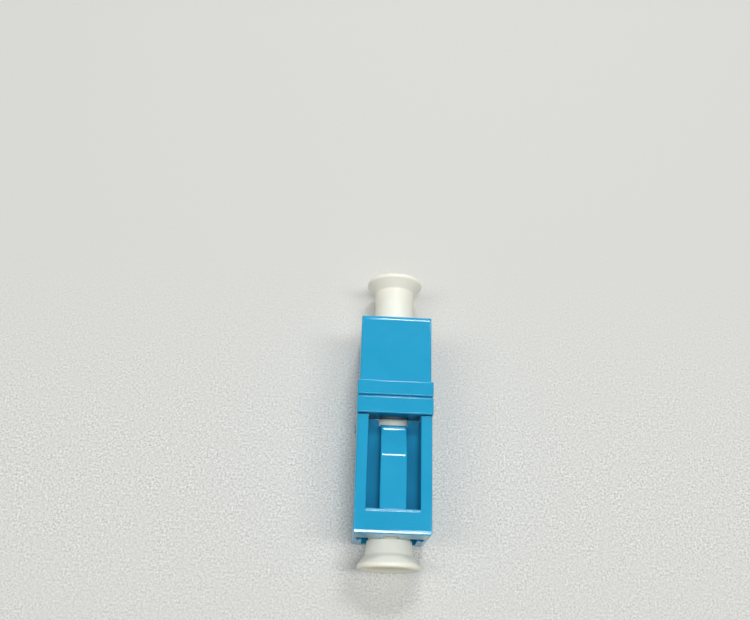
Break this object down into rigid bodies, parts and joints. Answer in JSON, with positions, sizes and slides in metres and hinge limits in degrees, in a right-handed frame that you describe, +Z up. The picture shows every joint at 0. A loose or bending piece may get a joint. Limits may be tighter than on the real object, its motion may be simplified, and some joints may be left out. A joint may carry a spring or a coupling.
{
  "type": "simplex lc fibre adapter",
  "caption": "Simplex fibre adapter that joins two plugs ferrule to ferrule, with a latch window in one half and a dust cap in each port.",
  "frame": {"origin": "underside, below the optical plane, on the middle of the width", "axes": "+Y along the fibre axis towards the short rear housing, +Z up towards the latch side, +X across"},
  "size_m": [0.0082, 0.0336, 0.0095],
  "materials": {
    "blue_plastic": "glossy moulded",
    "white_plastic": "moulded",
    "cap_plastic": "soft satin",
    "zirconia": "polished ceramic"
  },
  "bodies": {
    "adapter": {"housing_front": "blue_plastic", "housing_rear": "blue_plastic", "sleeve_holder_front": "white_plastic", "sleeve_holder_rear": "white_plastic", "split_sleeve": "zirconia"},
    "front_cap": {"dust_cap_front": "cap_plastic"},
    "rear_cap": {"dust_cap_rear": "cap_plastic"}
  },
  "joints": [
    {"name": "front_cap_pull", "type": "slide", "parent": "adapter", "child": "front_cap", "axis": [0, -1, 0], "range_m": [0, 0.02]},
    {"name": "rear_cap_pull", "type": "slide", "parent": "adapter", "child": "rear_cap", "axis": [0, 1, 0], "range_m": [-0.0035, 0.0165]}
  ]
}
